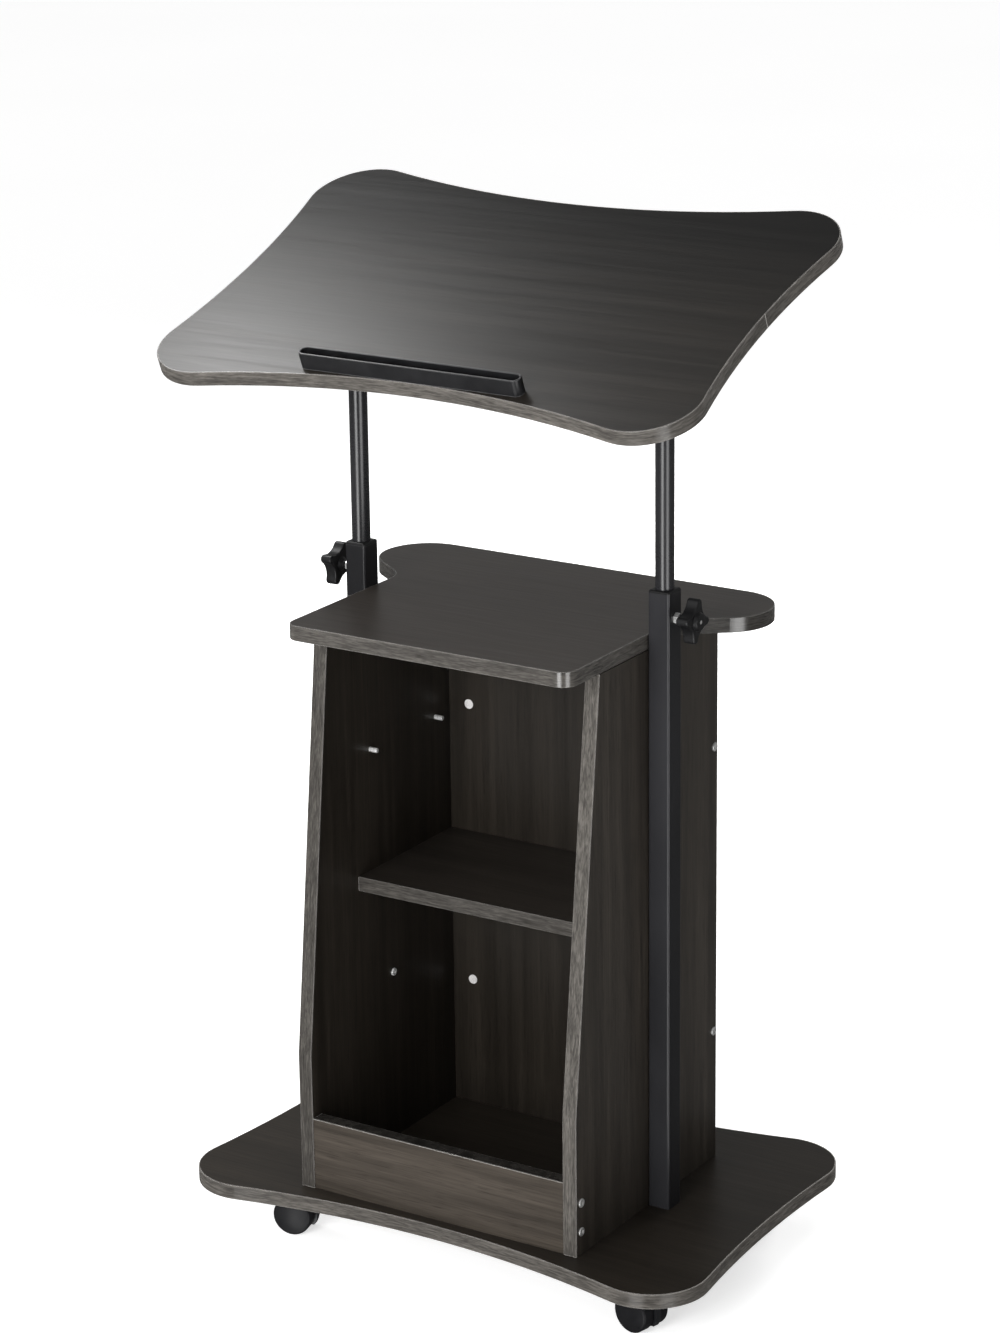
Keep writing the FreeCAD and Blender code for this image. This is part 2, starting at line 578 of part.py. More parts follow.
mount_screws, mount_holes, clamp_screws, caps = [], [], [], []
for s, name in ((-1, "left_tilt_clamp"), (1, "right_tilt_clamp")):
    cx = s * CLAMP_X
    block = box(cx - 18, cx + 18, -22, 22, 0.4, n0)
    block = block.makeFillet(3.0, [q for q in block.Edges if q.BoundBox.ZLength > 5])
    foot = prism(rounded_rect(cx, 0, 44, 74, 6.0), n0 - 4.0, 4.0)
    bore = cyl(ROD_R + RUN, (cx - 40, 0, 0), (1, 0, 0), 80)
    tools = [bore]
    for v in (-15.5, 15.5):
        clamp_screws.append(screw((cx, v, -14.0), (0, 0, 1), 4.5, 3.0, 2.5, 30.0, 4.0))
        tools.append(cyl(2.55, (cx, v, -20), (0, 0, 1), 36.3))
    for dx in (-14.0, 14.0):
        for v in (-30.0, 30.0):
            mount_screws.append(screw((cx + dx, v, n0 - 4.0), (0, 0, 1), 4.0, 2.2, 2.0, 14.0))
            h = cyl(2.05, (cx + dx, v, n0 - 5.0), (0, 0, 1), 15.3)
            tools.append(h)
            mount_holes.append(h)
    desk[name] = cut(fuse([block, foot]), tools)
    cap = box(cx - 18, cx + 18, -22, 22, -14.0, -0.4)
    cap = cap.makeFillet(3.0, [q for q in cap.Edges if q.BoundBox.ZLength > 5])
    caps.append(cut(cap, tools))
desk["tilt_clamp_caps"] = Part.makeCompound(caps)
desk["tilt_clamp_screws"] = Part.makeCompound(clamp_screws)
desk["tilt_mount_screws"] = Part.makeCompound(mount_screws)

# front ledge: a shallow open trough with round ends
lv = LEDGE_V0 + LEDGE_W / 2
outer = rounded_rect(0, lv, LEDGE_L, LEDGE_W, LEDGE_W / 2 - 0.01)
iw = LEDGE_W - 2 * LEDGE_WALL
inner = rounded_rect(0, lv, LEDGE_L - 2 * LEDGE_WALL, iw, iw / 2 - 0.01)
ledge = prism(outer, n1, LEDGE_H).cut(prism(inner, n1 + LEDGE_FLOOR, LEDGE_H))
ledge = ledge.makeFillet(0.7, [q for q in ledge.Edges if q.BoundBox.ZMin > n1 + LEDGE_H - 0.01])
ledge_screws, ledge_holes = [], []
for u in (-90.0, 0.0, 90.0):
    ledge_screws.append(screw((u, lv, n1 + LEDGE_FLOOR), (0, 0, -1), 3.2, 1.6, 1.6, 14.0, 2.5))
    ledge_holes.append(cyl(1.65, (u, lv, n1 + LEDGE_FLOOR + 1), (0, 0, -1), 15.3))
desk["laptop_ledge"] = cut(ledge, ledge_holes)
desk["ledge_screws"] = Part.makeCompound(ledge_screws)
desk["desktop_board"] = cut(prism(desk_inner, n0, BOARD), mount_holes + ledge_holes)

for name, s in desk.items():
    s = s.copy()
    s.rotate(V(0, 0, 0), V(1, 0, 0), TILT)
    s.translate(V(0, PIVOT_Y, PIVOT_Z))
    nodes[name] = s

# ---------------------------------------------------------------- casters
# Each caster is drawn at the origin, floor at z = 0, axle along y and the
# wheels trailing toward +x; the front pair stand turned a little.
AX = TRAIL
top = CASTER_H - PLATE_T


def wheel(s):
    """Solid wheel with a rounded shoulder and a smooth domed outer face."""
    dome = 74.0
    w = cyl(WHEEL_R, (0, WHEEL_IN, 0), (0, 1, 0), WHEEL_OUT + 2.0 - WHEEL_IN).common(
        Part.makeSphere(dome, V(0, WHEEL_OUT + 0.7 - dome, 0)))
    w = w.Solids[0]
    rims = [e for e in w.Edges if e.Curve.TypeId == "Part::GeomCircle"]
    low, high = min(e.Curve.Center.y for e in rims), max(e.Curve.Center.y for e in rims)
    w = w.makeFillet(2.6, [e for e in rims if abs(e.Curve.Center.y - high) < 1e-6])
    w = w.makeFillet(1.2, [e for e in w.Edges if e.Curve.TypeId == "Part::GeomCircle"
                           and abs(e.Curve.Center.y - low) < 1e-6])
    w = w.cut(cyl(AXLE_R + 0.03, (0, WHEEL_IN - 2.0, 0), (0, 1, 0), WHEEL_OUT - 3.0 - WHEEL_IN + 2.0))
    if s < 0:
        w = w.mirror(V(0, 0, 0), V(0, 1, 0))
    w.translate(V(AX, 0, WHEEL_R))
    return w


def hood():
    c = V(AX, 0, WHEEL_R)
    half = WHEEL_OUT - 0.5
    shell = cyl(24.0, (c.x, -half, c.z), (0, 1, 0), 2 * half).cut(
        cyl(21.4, (c.x, -half - 1, c.z), (0, 1, 0), 2 * half + 2))
    shell = shell.cut(box(-60, 80, -40, 40, -40, c.z + 11.0))
    web = cyl(22.5, (c.x, -WHEEL_IN + 0.5, c.z), (0, 1, 0), 2 * WHEEL_IN - 1.0)
    web = web.cut(box(-60, 80, -40, 40, -40, 8.0))
    boss = cyl(10.5, (0, 0, 28.0), (0, 0, 1), top - 0.6 - 28.0)
    neck = box(0, AX, -WHEEL_IN + 0.5, WHEEL_IN - 0.5, 12.0, 42.0)
    h = fuse([shell, web, boss, neck])
    for s in SIDES:
        y0 = s * (WHEEL_IN - 0.5)
        h = h.cut(cyl(21.4, (c.x, y0, c.z), (0, s, 0), 30))
    h = h.cut(cyl(KING_R + RUN, (0, 0, top - 11.4), (0, 0, 1), 20))
    h = h.cut(cyl(AXLE_R + RUN, (c.x, -20, c.z), (0, 1, 0), 40))
    return h


axle_one = cyl(AXLE_R, (AX, -WHEEL_OUT + 3.1, WHEEL_R), (0, 1, 0), 2 * (WHEEL_OUT - 3.1))
wheels_one = Part.makeCompound([wheel(-1), wheel(1)])
hood_one = hood()
for name, (x, y) in caster_xy.items():
    at = V(x, y, -BASE_TOP)
    for kind, s in (("hood", hood_one), ("wheels", wheels_one), ("axle", axle_one)):
        c = s.copy()
        c.rotate(V(0, 0, 0), V(0, 0, 1), HEADING.get(name, 0.0))
        nodes["caster_" + name + "_" + kind] = c.translated(at)

# ---------------------------------------------------------------- export
os.makedirs("parts", exist_ok=True)
for name, shape in nodes.items():
    shape.translated(SHIFT).exportStep("parts/" + name + ".step")
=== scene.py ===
import math

import bpy
from mathutils import Matrix, Vector

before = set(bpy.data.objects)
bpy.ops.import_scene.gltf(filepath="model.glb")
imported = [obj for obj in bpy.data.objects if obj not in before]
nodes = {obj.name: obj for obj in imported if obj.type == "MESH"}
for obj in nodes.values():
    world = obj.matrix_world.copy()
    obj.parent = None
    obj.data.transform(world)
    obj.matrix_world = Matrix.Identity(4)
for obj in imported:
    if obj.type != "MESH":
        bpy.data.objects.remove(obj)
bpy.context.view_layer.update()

TILT = math.radians(21.0)


# ----------------------------------------------------------------------------
# node helpers
# ----------------------------------------------------------------------------
class Tree:
    """A material's node tree, built left to right with small calls."""

    def __init__(self, name):
        self.mat = bpy.data.materials.new(name)
        self.mat.use_nodes = True
        self.t = self.mat.node_tree
        self.t.nodes.clear()
        self.out = self.t.nodes.new("ShaderNodeOutputMaterial")
        self.bsdf = self.t.nodes.new("ShaderNodeBsdfPrincipled")
        self.link(self.bsdf.outputs["BSDF"], self.out.inputs["Surface"])
        self.coord = self.t.nodes.new("ShaderNodeTexCoord").outputs["Object"]

    def link(self, a, b):
        self.t.links.new(a, b)

    def put(self, socket, value):
        if isinstance(value, bpy.types.NodeSocket):
            self.link(value, socket)
        else:
            socket.default_value = value

    def set(self, **values):
        for k, v in values.items():
            self.put(self.bsdf.inputs[k.replace("_", " ")], v)

    def mapping(self, scale, rotation=(0, 0, 0), location=(0, 0, 0), vector=None):
        n = self.t.nodes.new("ShaderNodeMapping")
        n.vector_type = "POINT"
        self.link(vector or self.coord, n.inputs["Vector"])
        n.inputs["Location"].default_value = location
        n.inputs["Rotation"].default_value = rotation
        n.inputs["Scale"].default_value = scale
        return n.outputs["Vector"]

    def noise(self, vector, scale=1.0, detail=2.0, rough=0.5, distortion=0.0):
        n = self.t.nodes.new("ShaderNodeTexNoise")
        self.link(vector, n.inputs["Vector"])
        n.inputs["Scale"].default_value = scale
        n.inputs["Detail"].default_value = detail
        n.inputs["Roughness"].default_value = rough
        n.inputs["Distortion"].default_value = distortion
        return n.outputs["Fac"]

    def voronoi(self, vector, scale=1.0, feature="F1", randomness=1.0):
        n = self.t.nodes.new("ShaderNodeTexVoronoi")
        n.feature = feature
        self.link(vector, n.inputs["Vector"])
        n.inputs["Scale"].default_value = scale
        n.inputs["Randomness"].default_value = randomness
        return n.outputs["Distance"]

    def ramp(self, fac, *stops):
        n = self.t.nodes.new("ShaderNodeValToRGB")
        self.link(fac, n.inputs["Fac"])
        e = n.color_ramp.elements
        while len(e) < len(stops):
            e.new(0.5)
        for el, (pos, col) in zip(e, stops):
            el.position = pos
            if not isinstance(col, (tuple, list)):
                col = (col, col, col)
            el.color = (*col, 1.0)
        return n.outputs["Color"]

    def map(self, value, a, b, c, d):
        n = self.t.nodes.new("ShaderNodeMapRange")
        n.clamp = True
        self.link(value, n.inputs["Value"])
        for k, v in zip(("From Min", "From Max", "To Min", "To Max"), (a, b, c, d)):
            n.inputs[k].default_value = v
        return n.outputs["Result"]

    def math(self, op, a, b=0.0):
        n = self.t.nodes.new("ShaderNodeMath")
        n.operation = op
        self.put(n.inputs[0], a)
        self.put(n.inputs[1], b)
        return n.outputs["Value"]

    def mix(self, fac, a, b, blend="MIX"):
        n = self.t.nodes.new("ShaderNodeMix")
        n.data_type = "RGBA"
        n.blend_type = blend
        self.put(n.inputs["Factor"], fac)
        for key, v in (("A", a), ("B", b)):
            s = [i for i in n.inputs if i.name == key and i.type == "RGBA"][0]
            if not isinstance(v, bpy.types.NodeSocket):
                v = (*v, 1.0) if len(v) == 3 else v
            self.put(s, v)
        return [o for o in n.outputs if o.type == "RGBA"][0]

    def bump(self, height, strength, distance, normal=None):
        n = self.t.nodes.new("ShaderNodeBump")
        n.inputs["Strength"].default_value = strength
        n.inputs["Distance"].default_value = distance
        self.link(height, n.inputs["Height"])
        if normal is not None:
            self.link(normal, n.inputs["Normal"])
        return n.outputs["Normal"]

    def edge(self, radius):
        """1 along sharp edges, 0 on flat faces: where the rounded normal leaves the face normal."""
        b = self.t.nodes.new("ShaderNodeBevel")
        b.samples = 6
        b.inputs["Radius"].default_value = radius
        g = self.t.nodes.new("ShaderNodeNewGeometry")
        d = self.t.nodes.new("ShaderNodeVectorMath")
        d.operation = "DOT_PRODUCT"
        self.link(b.outputs["Normal"], d.inputs[0])
        self.link(g.outputs["Normal"], d.inputs[1])
        return self.map(d.outputs["Value"], 0.995, 0.80, 0.0, 1.0), b.outputs["Normal"]


# ----------------------------------------------------------------------------
# materials
# ----------------------------------------------------------------------------
def along(axis, fine, coarse):
    """Scale that stretches a pattern along one axis."""
    return tuple(coarse if i == axis else fine for i in range(3))


def laminate(name, axis, rotation=(0, 0, 0), shift=(0, 0, 0), lift=1.0, contrast=1.0, wave=0.0, gloss=0.42, warm=0.0, relief=0.16, painted_light_and_drift=1.0, rear_painted_shade=1.0):
    """Dark wood-grain melamine: broad figure, streaks, fine pores, satin wear layer.

    The last two parameters scale the tone toward negative x and toward positive y: painted light and painted shade,
    lightening or darkening a board where more or less light falls on it."""
    m = Tree(name)
    turn = m.mapping((1, 1, 1), rotation, shift)
    figure = m.noise(m.mapping(along(axis, 15 + 20 * wave, 1.0 + 1.6 * wave), vector=turn), 1.0, 3.0, 0.55, 0.9 + wave)
    streak = m.noise(m.mapping(along(axis, 95 - 25 * wave, 2.2 + 1.5 * wave), vector=turn), 1.0, 4.0, 0.62, 0.4 + 0.5 * wave)
    fibre = m.noise(m.mapping(along(axis, 640, 11.0), vector=turn), 1.0, 3.0, 0.6)
    pore = m.noise(m.mapping(along(axis, 1000, 34.0), vector=turn), 1.0, 2.0, 0.5)

    a = m.math("MULTIPLY", figure, 0.45)
    b = m.math("MULTIPLY", streak, 0.55)
    tone = m.map(m.math("ADD", a, b), 0.30, 0.74, 0.52 - 0.22 * contrast, 0.52 + 0.22 * contrast)

    def c(v):
        return (v * lift, (0.845 - 0.015 * warm) * v * lift, (0.715 - 0.06 * warm) * v * lift)

    colour = m.ramp(tone, (0.30, c(0.016)), (0.46, c(0.030)), (0.57, c(0.046)), (0.74, c(0.070)))
    fade = 0.25 + 0.25 * min(contrast, 1.0)
    colour = m.mix(m.map(fibre, 0.35, 0.65, 0.0, fade), colour, c(0.019))
    holes = m.map(pore, 0.58, 0.67, 0.0, 0.20 + 0.35 * min(contrast, 1.0))
    colour = m.mix(holes, colour, c(0.009))
    # painted light and shade: tone raised or lowered toward negative x and toward positive y
    if painted_light_and_drift != 1.0 or rear_painted_shade != 1.0:
        parts = m.t.nodes.new("ShaderNodeSeparateXYZ")
        m.link(m.coord, parts.inputs["Vector"])
        across = m.map(parts.outputs["X"], -0.16, 0.14, painted_light_and_drift, 1.0)
        level = m.math("MULTIPLY", across, m.map(parts.outputs["Y"], -0.05, 0.11, 1.0, rear_painted_shade))
        painted_light_scale = m.t.nodes.new("ShaderNodeCombineColor")
        for k in ("Red", "Green", "Blue"):
            m.link(level, painted_light_scale.inputs[k])
        colour = m.mix(1.0, colour, painted_light_scale.outputs["Color"], "MULTIPLY")
    m.set(Base_Color=colour)
    rough = m.math("ADD", m.map(streak, 0.3, 0.7, 0.335 - 0.035 * contrast, 0.345 + 0.035 * contrast), m.map(fibre, 0.3, 0.7, 0.0, 0.07))
    # undersides carry a plain matt backing sheet
    face = m.t.nodes.new("ShaderNodeSeparateXYZ")
    m.link(m.t.nodes.new("ShaderNodeNewGeometry").outputs["Normal"], face.inputs["Vector"])
    m.set(Roughness=m.math("ADD", rough, m.map(face.outputs["Z"], -0.6, -0.3, 0.6, 0.0)))
    m.bsdf.inputs["Specular IOR Level"].default_value = gloss
    height = m.math("SUBTRACT", m.math("MULTIPLY", fibre, 0.6), holes)
    m.set(Normal=m.bump(height, relief, 0.00012))
    return m.mat


def band(name, axis, rotation=(0, 0, 0), lift=1.0, rim_painted_highlight=0.52, left_painted_shade=1.0, back_painted_shade=1.0, gloss=0.5):
    """Grey-brown grained edge tape: short dark dashes along the tape, thin light rims painted along its edges as
    highlights.

    One parameter darkens the tape toward negative x, another toward positive y: painted shade for strips that lie in
    shadow."""
    m = Tree(name)
    turn = m.mapping((1, 1, 1), rotation)
    if axis == 2:
        broad, fine, dash = (190, 190, 11), (1400, 1400, 130), (640, 640, 62)
    else:
        broad, fine, dash = (11, 11, 190), (130, 130, 1400), (62, 62, 640)
    n1 = m.noise(m.mapping(broad, vector=turn), 1.0, 3.0, 0.6, 0.5)
    n2 = m.noise(m.mapping(fine, vector=turn), 1.0, 2.0, 0.5)
    n3 = m.noise(m.mapping(dash, vector=turn), 1.0, 3.0, 0.6, 0.3)
    tone = m.math("ADD", m.math("MULTIPLY", n1, 0.38), m.math("MULTIPLY", n3, 0.62))

    def c(v):
        return (v * lift, 0.925 * v * lift, 0.835 * v * lift)

    colour = m.ramp(tone, (0.30, c(0.032)), (0.45, c(0.066)), (0.55, c(0.098)), (0.72, c(0.150)))
    colour = m.mix(m.map(n2, 0.52, 0.64, 0.0, 0.5), colour, c(0.034))
    parts = m.t.nodes.new("ShaderNodeSeparateXYZ")
    m.link(m.coord, parts.inputs["Vector"])
    # painted shade: tape darkened toward negative x and toward positive y
    if left_painted_shade < 1.0:
        colour = m.mix(m.map(parts.outputs["X"], -0.05, 0.05, 1.0 - left_painted_shade, 0.0), colour, (0.0, 0.0, 0.0))
    if back_painted_shade < 1.0:
        colour = m.mix(m.map(parts.outputs["Y"], 0.0, 0.04, 0.0, 1.0 - back_painted_shade), colour, (0.0, 0.0, 0.0))
    # painted highlight: a light rim colour mixed in along the tape's sharp edges
    edge, rounded = m.edge(0.0011)
    colour = m.mix(m.math("MULTIPLY", edge, 0.85), colour, (rim_painted_highlight, 0.965 * rim_painted_highlight, 0.92 * rim_painted_highlight))
    m.set(Base_Color=colour)
    m.set(Roughness=m.map(n3, 0.3, 0.7, 0.17, 0.25))
    m.bsdf.inputs["Specular IOR Level"].default_value = gloss
    m.set(Normal=m.bump(n2, 0.18, 0.00012))
    return m.mat


def paint(name, base, rough, peel, edge_highlight_colour, spec=0.5, side_painted_shade=1.0):
    """Black coated steel: faint orange peel, drifting gloss, thin bright corners painted in as highlights.

    One parameter darkens the faces that look toward positive x: painted shade on the side that gets less light."""
    m = Tree(name)
    cloud = m.noise(m.mapping((14, 14, 5)), 1.0, 3.0, 0.55)
    grit = m.noise(m.mapping((900, 900, 900)), 1.0, 2.0, 0.5)
    colour = m.mix(m.map(cloud, 0.35, 0.65, 0.0, 1.0), tuple(0.80 * c for c in base), tuple(1.2 * c for c in base))
    # painted highlight: corners mixed toward a lighter colour
    edge, rounded = m.edge(0.0008)
    colour = m.mix(m.math("MULTIPLY", edge, 0.5), colour, edge_highlight_colour)
    # painted shade: faces toward positive x darkened
    if side_painted_shade < 1.0:
        face = m.t.nodes.new("ShaderNodeSeparateXYZ")
        m.link(m.t.nodes.new("ShaderNodeNewGeometry").outputs["Normal"], face.inputs["Vector"])
        colour = m.mix(m.map(face.outputs["X"], 0.6, 0.95, 0.0, 1.0 - side_painted_shade), colour, (0.0, 0.0, 0.0))
    m.set(Base_Color=colour)
    m.set(Roughness=m.math("ADD", m.map(cloud, 0.3, 0.7, rough - 0.04, rough + 0.05), m.map(grit, 0.3, 0.7, 0.0, 0.04)))
    m.bsdf.inputs["Specular IOR Level"].default_value = spec
    m.set(Normal=m.bump(grit, peel, 0.00010))
    return m.mat


def plastic(name, base, rough, grain, edge_highlight_colour, spec=0.45, edge_width=0.0006):
    """Moulded plastic: spark-eroded grain, corners painted lighter as highlights."""
    m = Tree(name)
    cell = m.voronoi(m.mapping((1500, 1500, 1500)), 1.0)
    cloud = m.noise(m.mapping((60, 60, 60)), 1.0, 4.0, 0.6)
    colour = m.mix(m.map(cloud, 0.35, 0.7, 0.0, 1.0), tuple(0.78 * c for c in base), tuple(1.25 * c for c in base))
    # painted highlight: edges mixed toward a lighter colour
    edge, rounded = m.edge(edge_width)
    colour = m.mix(m.math("MULTIPLY", edge, 0.55), colour, edge_highlight_colour)
    m.set(Base_Color=colour)
    m.set(Roughness=m.math("ADD", m.map(cloud, 0.3, 0.7, rough - 0.05, rough + 0.06), m.map(cell, 0.0, 0.7, 0.0, 0.05)))
    m.bsdf.inputs["Specular IOR Level"].default_value = spec
    m.set(Normal=m.bump(cell, grain, 0.00008))
    return m.mat


def metal(name, base, rough, scratch_axis=2, pure=1.0):
    """Bright zinc: fine turning marks, dulled patches."""
    m = Tree(name)
    patch = m.noise(m.mapping((240, 240, 240)), 1.0, 3.0, 0.6)
    line = m.noise(m.mapping(along(scratch_axis, 2600, 90)), 1.0, 2.0, 0.5)
    colour = m.mix(m.map(patch, 0.35, 0.7, 0.0, 1.0), tuple(0.82 * c for c in base), base)
    m.set(Base_Color=colour)
    m.bsdf.inputs["Metallic"].default_value = pure
    m.set(Roughness=m.math("ADD", m.map(patch, 0.3, 0.7, rough - 0.06, rough + 0.1), m.map(line, 0.3, 0.7, 0.0, 0.06)))
    m.set(Normal=m.bump(line, 0.12, 0.00004))
    return m.mat


def wood(name):
    m = Tree(name)
    grain = m.noise(m.mapping((260, 260, 30)), 1.0, 4.0, 0.6, 0.4)
    m.set(Base_Color=m.ramp(grain, (0.3, (0.33, 0.20, 0.10)), (0.7, (0.62, 0.44, 0.26))))
    m.set(Roughness=m.map(grain, 0.3, 0.7, 0.5, 0.68))
    m.set(Normal=m.bump(grain, 0.2, 0.0001))
    return m.mat


# The laminates below are copies of one board finish and the tapes copies of one edge tape: each lift is set board by
# board to the brightness that board's surfaces show, so the copies are painted light and shade. The base is also
# painted lighter toward negative x (painted light). The desktop toward its rear, the top tape toward positive y and the
# upright tape toward negative x are painted darker (painted shade).
LAM_BASE = laminate("laminate_base", 0, lift=0.46, contrast=0.50, warm=1.0, gloss=0.26, painted_light_and_drift=1.65)
LAM_SHELF = laminate("laminate_shelf", 0, shift=(0.37, 0.11, 0.53), lift=0.80, contrast=0.6)
LAM_TOP = laminate("laminate_top", 0, shift=(0.61, 0.45, 0.27), lift=1.34, contrast=0.22, gloss=0.45, relief=0.08)
LAM_KICK = laminate("laminate_kick", 0, shift=(1.37, 0.31, 0.13), lift=1.38, contrast=0.85, wave=0.6, warm=0.6, gloss=0.15)
LAM_DESK = laminate("laminate_desktop", 0, rotation=(-TILT, 0, 0), shift=(0.7, 0.2, 0.0), lift=0.50, contrast=0.75, relief=0.05, warm=0.7, rear_painted_shade=0.25)
LAM_V = laminate("laminate_upright", 2, lift=0.92, warm=1.0)
LAM_LEFT = laminate("laminate_upright_left", 2, shift=(0.9, 0.2, 0.4), lift=0.76, warm=1.0, gloss=0.32)
LAM_V2 = laminate("laminate_back", 2, shift=(0.23, 0.4, 0.9), lift=0.55, contrast=0.7, warm=1.0)
BAND_BASE = band("edge_tape_base", 0, lift=0.92, rim_painted_highlight=0.92, gloss=0.1)
BAND_TOP = band("edge_tape_top", 0, lift=0.80, rim_painted_highlight=0.70, back_painted_shade=0.60)
BAND_SHELF = band("edge_tape_shelf", 0, lift=0.66, rim_painted_highlight=0.40, gloss=0.2)
# BAND_KICK has a far lower lift than the other tapes: painted shadow on the kick tape's top, with its rim colour as a
# painted highlight along the front edge.
BAND_KICK = band("edge_tape_kick", 0, lift=0.30, rim_painted_highlight=0.66, gloss=0.15)
BAND_V = band("edge_tape_upright", 2, lift=1.02, left_painted_shade=0.68, gloss=0.15)
BAND_DESK = band("edge_tape_desktop", 0, rotation=(-TILT, 0, 0), lift=1.04, rim_painted_highlight=0.80, gloss=0.3)
POST = paint("post_coating", (0.0232, 0.0232, 0.0255), 0.32, 0.10, (0.03, 0.03, 0.033), spec=0.21, side_painted_shade=0.52)
# POST_LEFT is a darker copy of the post coating for the left post: painted shade, with its corners painted lighter as a
# highlight.
POST_LEFT = paint("post_coating_left", (0.0108, 0.0108, 0.0120), 0.34, 0.10, (0.09, 0.09, 0.095), spec=0.30)
ROD = paint("rod_coating", (0.0150, 0.0150, 0.0165), 0.25, 0.04, (0.08, 0.08, 0.09), spec=0.40)
BLACK = plastic("black_moulding", (0.0090, 0.0090, 0.0095), 0.36, 0.10, (0.06, 0.06, 0.065), spec=0.28)
CHARCOAL = plastic("charcoal_moulding", (0.0115, 0.0115, 0.0125), 0.34, 0.08, (0.34, 0.34, 0.35), edge_width=0.0013)
CASTER = plastic("caster_moulding", (0.0100, 0.0105, 0.0115), 0.33, 0.06, (0.06, 0.06, 0.065), spec=0.3)
TREAD = plastic("caster_tread", (0.0090, 0.0090, 0.0100), 0.40, 0.10, (0.025, 0.025, 0.027), spec=0.13)
ZINC = metal("zinc", (0.92, 0.92, 0.91), 0.28, pure=0.45)
DULL = metal("zinc_dull", (0.74, 0.74, 0.73), 0.30, pure=0.75)
STEEL = metal("caster_steel", (0.56, 0.56, 0.55), 0.34)
PALE = plastic("pale_cap", (0.80, 0.78, 0.77), 0.42, 0.05, (0.85, 0.84, 0.83))
DOWEL = wood("dowel_wood")

FINISH = {
    "base_board": LAM_BASE,
    "base_edge_band": BAND_BASE,
    "left_panel": LAM_LEFT,
    "right_panel": LAM_V,
    "panel_edge_bands": BAND_V,
    "back_panel": LAM_V2,
    "kick_board": LAM_KICK,
    "kick_edge_band": BAND_KICK,
    "middle_shelf": LAM_SHELF,
    "shelf_edge_band": BAND_SHELF,
    "cabinet_top": LAM_TOP,
    "top_edge_band": BAND_TOP,
    "left_post": POST_LEFT,
    "right_post": POST,
    "left_post_collar": BLACK,
    "right_post_collar": BLACK,
    "post_feet": BLACK,
    "post_foot_screws": ZINC,
    "post_screws": ZINC,
    "post_nuts": DULL,
    "panel_screws": DULL,
    "cam_housings": PALE,
    "shelf_pins": ZINC,
    "spare_shelf_pins": ZINC,
    "top_dowels": DOWEL,
    "base_screws": ZINC,
    "caster_plates": STEEL,
    "caster_kingpins": STEEL,
    "caster_screws": ZINC,
    "lift_frame": ROD,
    "rod_end_plugs": BLACK,
    "desktop_board": LAM_DESK,
    "desktop_edge_band": BAND_DESK,
    "left_tilt_clamp": BLACK,
    "right_tilt_clamp": BLACK,
    "tilt_clamp_caps": BLACK,
    "tilt_clamp_screws": ZINC,
    "tilt_mount_screws": ZINC,
    "laptop_ledge": CHARCOAL,
    "ledge_screws": ZINC,
    "left_knob": BLACK,
    "left_knob_stud": DULL,
    "right_knob": BLACK,
    "right_knob_stud": DULL,
}
for where in ("front_left", "front_right", "rear_left", "rear_right"):
    FINISH[f"caster_{where}_hood"] = CASTER
    FINISH[f"caster_{where}_wheels"] = TREAD
    FINISH[f"caster_{where}_axle"] = STEEL

for name, obj in nodes.items():
    if obj.data.materials:
        for i in range(len(obj.data.materials)):
            obj.data.materials[i] = FINISH[name]
    else:
        obj.data.materials.append(FINISH[name])

# ----------------------------------------------------------------------------
# studio: pale floor, soft lights, camera at the photograph's viewing angle
# ----------------------------------------------------------------------------
scene = bpy.context.scene
scene.view_settings.view_transform = "Standard"

side = 30.0
floor_mesh = bpy.data.meshes.new("studio_floor")
floor_mesh.from_pydata(
    [(-side, -side, 0), (side, -side, 0), (side, side, 0), (-side, side, 0)], [], [(0, 1, 2, 3)]
)
floor = bpy.data.objects.new("studio_floor", floor_mesh)
scene.collection.objects.link(floor)
fm = Tree("studio_floor")
painted_light_and_drift = fm.noise(fm.mapping((0.6, 0.6, 0.6)), 1.0, 2.0, 0.5)
fm.set(Base_Color=fm.ramp(painted_light_and_drift, (0.3, (0.78, 0.78, 0.78)), (0.7, (0.82, 0.82, 0.82))))
fm.bsdf.inputs["Roughness"].default_value = 0.8
fm.bsdf.inputs["Specular IOR Level"].default_value = 0.1
fm.bsdf.inputs["Emission Color"].default_value = (1, 1, 1, 1)
fm.bsdf.inputs["Emission Strength"].default_value = 0.62
floor_mesh.materials.append(fm.mat)
floor.visible_glossy = False

# studio shell: dim behind, darker overhead at the back, a broad soft glow above the front
world = bpy.data.worlds.new("studio")
scene.world = world
world.use_nodes = True
wt = world.node_tree
wt.nodes.clear()
wo = wt.nodes.new("ShaderNodeOutputWorld")
bg = wt.nodes.new("ShaderNodeBackground")
tc = wt.nodes.new("ShaderNodeTexCoord")
sep = wt.nodes.new("ShaderNodeSeparateXYZ")
wt.links.new(tc.outputs["Generated"], sep.inputs["Vector"])
shell = wt.nodes.new("ShaderNodeValToRGB")
height = wt.nodes.new("ShaderNodeMapRange")
for k, v in zip(("From Min", "From Max", "To Min", "To Max"), (-1.0, 1.0, 0.0, 1.0)):
    height.inputs[k].default_value = v
wt.links.new(sep.outputs["Z"], height.inputs["Value"])
wt.links.new(height.outputs["Result"], shell.inputs["Fac"])
el = shell.color_ramp.elements
while len(el) < 5:
    el.new(0.5)
for e, (at, v) in zip(el, ((0.30, 0.10), (0.47, 0.20), (0.64, 0.30), (0.82, 0.16), (1.0, 0.22))):
    e.position = at
    e.color = (v, v, v, 1)
glow_dir = wt.nodes.new("ShaderNodeVectorMath")
glow_dir.operation = "DOT_PRODUCT"
wt.links.new(tc.outputs["Generated"], glow_dir.inputs[0])
